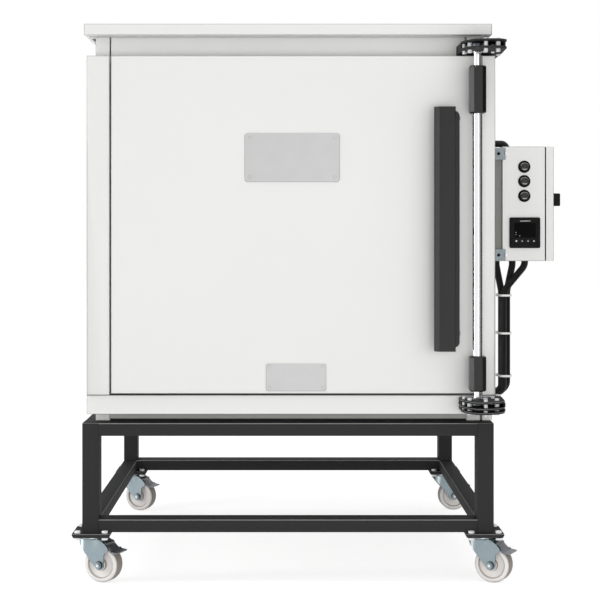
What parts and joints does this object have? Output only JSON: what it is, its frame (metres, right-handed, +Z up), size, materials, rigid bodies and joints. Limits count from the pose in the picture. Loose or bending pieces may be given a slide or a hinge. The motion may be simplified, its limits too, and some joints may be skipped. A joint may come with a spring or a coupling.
{
  "type": "ceramic kiln",
  "caption": "Front-loading ceramic chamber kiln with a side-hinged insulated door, on a wheeled steel tube stand with a side control box.",
  "frame": {"origin": "middle of the bounding box on the floor under the wheels", "axes": "+Z up, +Y from the door to the back, +X to the right as seen from the door, towards the control box"},
  "size_m": [1.1174, 1.1096, 1.232],
  "materials": {
    "white_paint": "smooth satin off-white powder coat",
    "shadow_paint": "satin grey-beige paint",
    "charcoal_paint": "satin charcoal powder coat",
    "zinc": "bright bluish zinc plate",
    "chrome": "polished",
    "nylon": "cast creamy white nylon",
    "fibre_board": "rigid matt ceramic-fibre board",
    "element_ceramic": "matt fired ceramic",
    "probe_steel": "heat-tinted steel",
    "name_plate": "brushed, bare",
    "black_plastic": "semi-gloss black",
    "conduit_plastic": "black corrugated plastic",
    "white_nylon": "natural nylon",
    "component_plastic": "grey moulded parts"
  },
  "bodies": {
    "kiln": {"body_posts": "white_paint", "button_bezels": "black_plastic", "cable_ties": "white_nylon", "caster_bolts": "zinc", "caster_pads": "charcoal_paint", "caster_plates": "charcoal_paint", "conduit_glands": "conduit_plastic", "conduits": "conduit_plastic", "control_brackets": "zinc", "control_case": "white_paint", "control_channel": "shadow_paint", "control_insides": "component_plastic", "controller": "black_plastic", "door_surround": "white_paint", "floor_lining": "fibre_board", "floor_pan": "shadow_paint", "front_header": "white_paint", "heating_tubes": "element_ceramic", "hinge_bolts": "zinc", "hinge_plates_bottom": "charcoal_paint", "hinge_plates_top": "charcoal_paint", "hinge_post": "white_paint", "lid": "white_paint", "mouth_frame": "white_paint", "rear_cover": "white_paint", "rear_lining": "fibre_board", "rear_panel": "white_paint", "roof_lining": "fibre_board", "side_panel_left": "white_paint", "side_panel_right": "white_paint", "stand_bottom_rails": "charcoal_paint", "stand_legs": "charcoal_paint", "stand_top_rails": "charcoal_paint", "thermocouple": "probe_steel", "wall_lining": "fibre_board"},
    "door": {"door_pan": "white_paint", "door_lining": "fibre_board", "door_seal": "fibre_board", "door_handle": "charcoal_paint", "door_screws": "zinc", "name_plates": "name_plate", "hinge_sleeves": "charcoal_paint", "hinge_rod": "chrome"},
    "control_door": {"control_door": "white_paint"},
    "control_lock": {"control_lock": "black_plastic"},
    "button_1": {"push_button_1": "black_plastic"},
    "button_2": {"push_button_2": "black_plastic"},
    "button_3": {"push_button_3": "black_plastic"},
    "swivel_front_left": {"fork_front_left": "zinc"},
    "wheel_front_left": {"wheel_front_left": "nylon"},
    "pedal_front_left": {"brake_pedal_front_left": "zinc"},
    "swivel_front_right": {"fork_front_right": "zinc"},
    "wheel_front_right": {"wheel_front_right": "nylon"},
    "pedal_front_right": {"brake_pedal_front_right": "zinc"},
    "swivel_rear_left": {"fork_rear_left": "zinc"},
    "wheel_rear_left": {"wheel_rear_left": "nylon"},
    "pedal_rear_left": {"brake_pedal_rear_left": "zinc"},
    "swivel_rear_right": {"fork_rear_right": "zinc"},
    "wheel_rear_right": {"wheel_rear_right": "nylon"},
    "pedal_rear_right": {"brake_pedal_rear_right": "zinc"}
  },
  "joints": [
    {"name": "door_swing", "type": "hinge", "parent": "kiln", "child": "door", "pos_m": [0.32625, -0.48423, 0.784], "axis": [0, 0, 1], "range_deg": [0, 120]},
    {"name": "control_door_swing", "type": "hinge", "parent": "kiln", "child": "control_door", "pos_m": [0.52725, 0.04977, 0.838], "axis": [0, 0, 1], "range_deg": [0, 105]},
    {"name": "control_lock_turn", "type": "hinge", "parent": "control_door", "child": "control_lock", "pos_m": [0.53975, -0.16523, 0.8485], "axis": [1, 0, 0], "range_deg": [0, 90]},
    {"name": "button_1_press", "type": "slide", "parent": "kiln", "child": "button_1", "axis": [0, 1, 0], "range_m": [0, 0.003], "stiffness_N_per_m": 800, "springref_m": -0.002},
    {"name": "button_2_press", "type": "slide", "parent": "kiln", "child": "button_2", "axis": [0, 1, 0], "range_m": [0, 0.003], "stiffness_N_per_m": 800, "springref_m": -0.002},
    {"name": "button_3_press", "type": "slide", "parent": "kiln", "child": "button_3", "axis": [0, 1, 0], "range_m": [0, 0.003], "stiffness_N_per_m": 800, "springref_m": -0.002},
    {"name": "swivel_front_left", "type": "hinge", "parent": "kiln", "child": "swivel_front_left", "pos_m": [-0.51675, -0.40423, 0.098], "axis": [0, 0, 1], "continuous": true},
    {"name": "roll_front_left", "type": "hinge", "parent": "swivel_front_left", "child": "wheel_front_left", "pos_m": [-0.49248, -0.41355, 0.04], "axis": [0.3584, 0.9336, 0], "continuous": true},
    {"name": "brake_front_left", "type": "hinge", "parent": "swivel_front_left", "child": "pedal_front_left", "pos_m": [-0.48127, -0.41785, 0.085], "axis": [-0.3584, -0.9336, 0], "range_deg": [0, 8]},
    {"name": "swivel_front_right", "type": "hinge", "parent": "kiln", "child": "swivel_front_right", "pos_m": [0.34725, -0.40423, 0.098], "axis": [0, 0, 1], "continuous": true},
    {"name": "roll_front_right", "type": "hinge", "parent": "swivel_front_right", "child": "wheel_front_right", "pos_m": [0.37042, -0.41603, 0.04], "axis": [0.454, 0.891, 0], "continuous": true},
    {"name": "brake_front_right", "type": "hinge", "parent": "swivel_front_right", "child": "pedal_front_right", "pos_m": [0.38111, -0.42148, 0.085], "axis": [-0.454, -0.891, 0], "range_deg": [0, 8]},
    {"name": "swivel_rear_left", "type": "hinge", "parent": "kiln", "child": "swivel_rear_left", "pos_m": [-0.51675, 0.49577, 0.098], "axis": [0, 0, 1], "continuous": true},
    {"name": "roll_rear_left", "type": "hinge", "parent": "swivel_rear_left", "child": "wheel_rear_left", "pos_m": [-0.49232, 0.48688, 0.04], "axis": [0.342, 0.9397, 0], "continuous": true},
    {"name": "brake_rear_left", "type": "hinge", "parent": "swivel_rear_left", "child": "pedal_rear_left", "pos_m": [-0.48104, 0.48277, 0.085], "axis": [-0.342, -0.9397, 0], "range_deg": [0, 8]},
    {"name": "swivel_rear_right", "type": "hinge", "parent": "kiln", "child": "swivel_rear_right", "pos_m": [0.34725, 0.49577, 0.098], "axis": [0, 0, 1], "continuous": true},
    {"name": "roll_rear_right", "type": "hinge", "parent": "swivel_rear_right", "child": "wheel_rear_right", "pos_m": [0.37311, 0.49849, 0.04], "axis": [-0.1045, 0.9945, 0], "continuous": true},
    {"name": "brake_rear_right", "type": "hinge", "parent": "swivel_rear_right", "child": "pedal_rear_right", "pos_m": [0.38504, 0.49974, 0.085], "axis": [0.1045, -0.9945, 0], "range_deg": [0, 8]}
  ]
}
